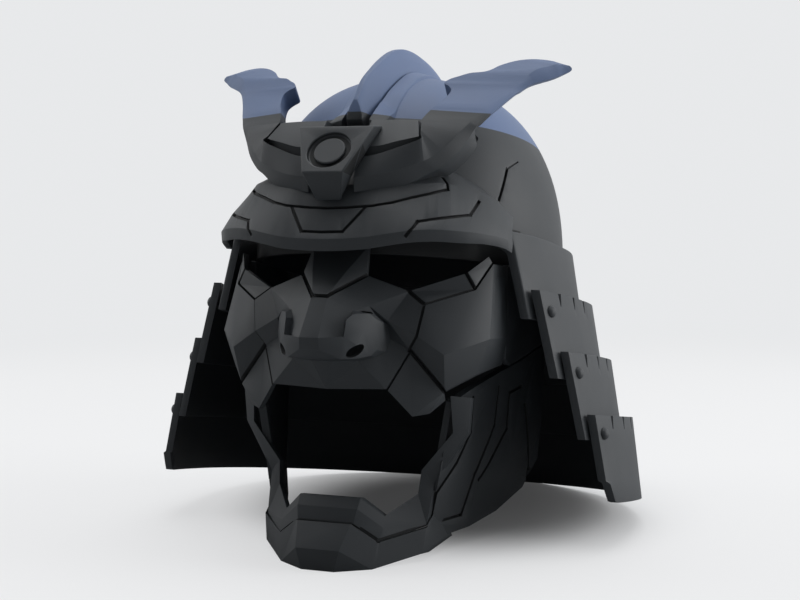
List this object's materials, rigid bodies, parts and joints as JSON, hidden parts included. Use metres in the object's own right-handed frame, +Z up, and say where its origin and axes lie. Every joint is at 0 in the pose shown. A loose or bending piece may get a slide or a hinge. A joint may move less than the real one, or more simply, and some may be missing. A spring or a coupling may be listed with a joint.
{
  "type": "samurai helmet with face mask",
  "caption": "Faceted samurai helmet: domed bowl with crest fin and horns, visor, tiered neck guard with rivets, and an open-mouthed angular face mask.",
  "frame": {"origin": "on the surface it stands on, under the middle of its box", "axes": "+Z up, the wearer's face towards -Y, +X on the wearer's left; the helmet leans back on its chin and rear rim"},
  "size_m": [0.3378, 0.32, 0.3319],
  "materials": {
    "charcoal_print": "matte",
    "slate_blue_print": "matte"
  },
  "bodies": {
    "root": {"bowl": "slate_blue_print", "brow_plate": "charcoal_print", "cheek_plate_left": "charcoal_print", "cheek_plate_right": "charcoal_print", "chin_guard": "charcoal_print", "crest_fin": "slate_blue_print", "crest_plate": "charcoal_print", "crest_wing_left": "charcoal_print", "crest_wing_right": "charcoal_print", "fin_rail_left": "slate_blue_print", "fin_rail_right": "slate_blue_print", "horn_left": "slate_blue_print", "horn_right": "slate_blue_print", "jaw_side_left": "charcoal_print", "jaw_side_right": "charcoal_print", "lid_end_left": "charcoal_print", "lid_end_right": "charcoal_print", "lid_plate_left": "charcoal_print", "lid_plate_right": "charcoal_print", "medallion": "charcoal_print", "mouth_rail": "charcoal_print", "neck_row_1": "charcoal_print", "neck_row_2": "charcoal_print", "neck_row_3": "charcoal_print", "neck_row_4": "charcoal_print", "nose_plate": "charcoal_print", "rivet_2_left": "charcoal_print", "rivet_2_right": "charcoal_print", "rivet_3_left": "charcoal_print", "rivet_3_right": "charcoal_print", "rivet_4_left": "charcoal_print", "rivet_4_right": "charcoal_print", "temple_left": "charcoal_print", "temple_right": "charcoal_print", "tusk_plate_left": "charcoal_print", "tusk_plate_right": "charcoal_print", "visor": "charcoal_print"}
  },
  "joints": []
}
